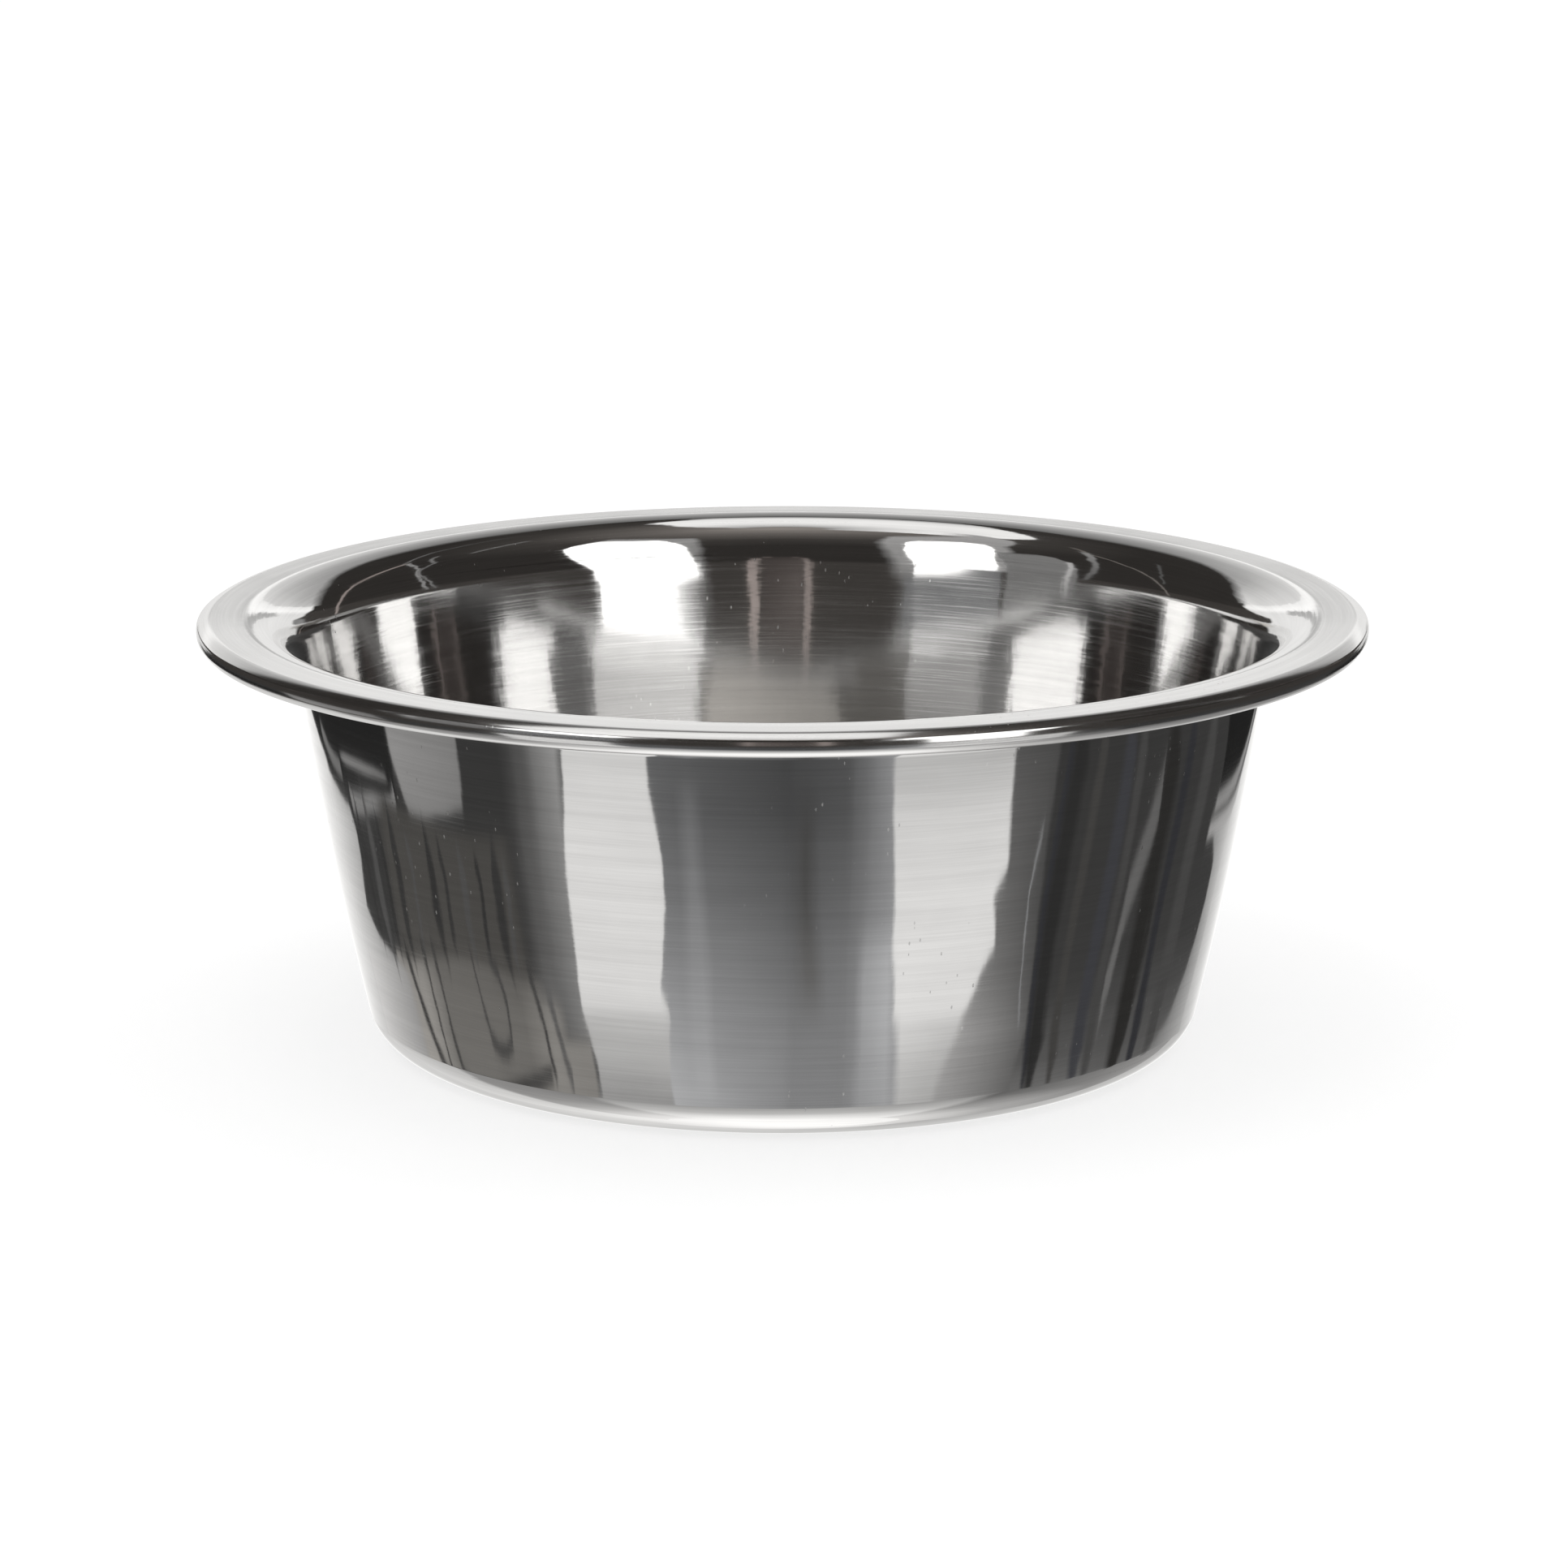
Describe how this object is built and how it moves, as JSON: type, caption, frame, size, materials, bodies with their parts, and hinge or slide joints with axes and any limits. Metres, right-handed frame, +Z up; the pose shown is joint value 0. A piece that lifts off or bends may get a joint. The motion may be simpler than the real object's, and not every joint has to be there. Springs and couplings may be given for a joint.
{
  "type": "pet bowl",
  "caption": "Round deep-drawn steel pet bowl with a tapered wall, a wide level flange and a rolled edge, for food or water.",
  "frame": {"origin": "on the bowl's axis, at the plane that its base stands on", "axes": "+Z up along the bowl's axis, towards its mouth; the bowl is round, so X and Y are free"},
  "size_m": [0.254, 0.254, 0.0944],
  "materials": {
    "steel": "polished stainless steel with fine brushing round the axis"
  },
  "bodies": {
    "root": {"bowl": "steel"}
  },
  "joints": []
}
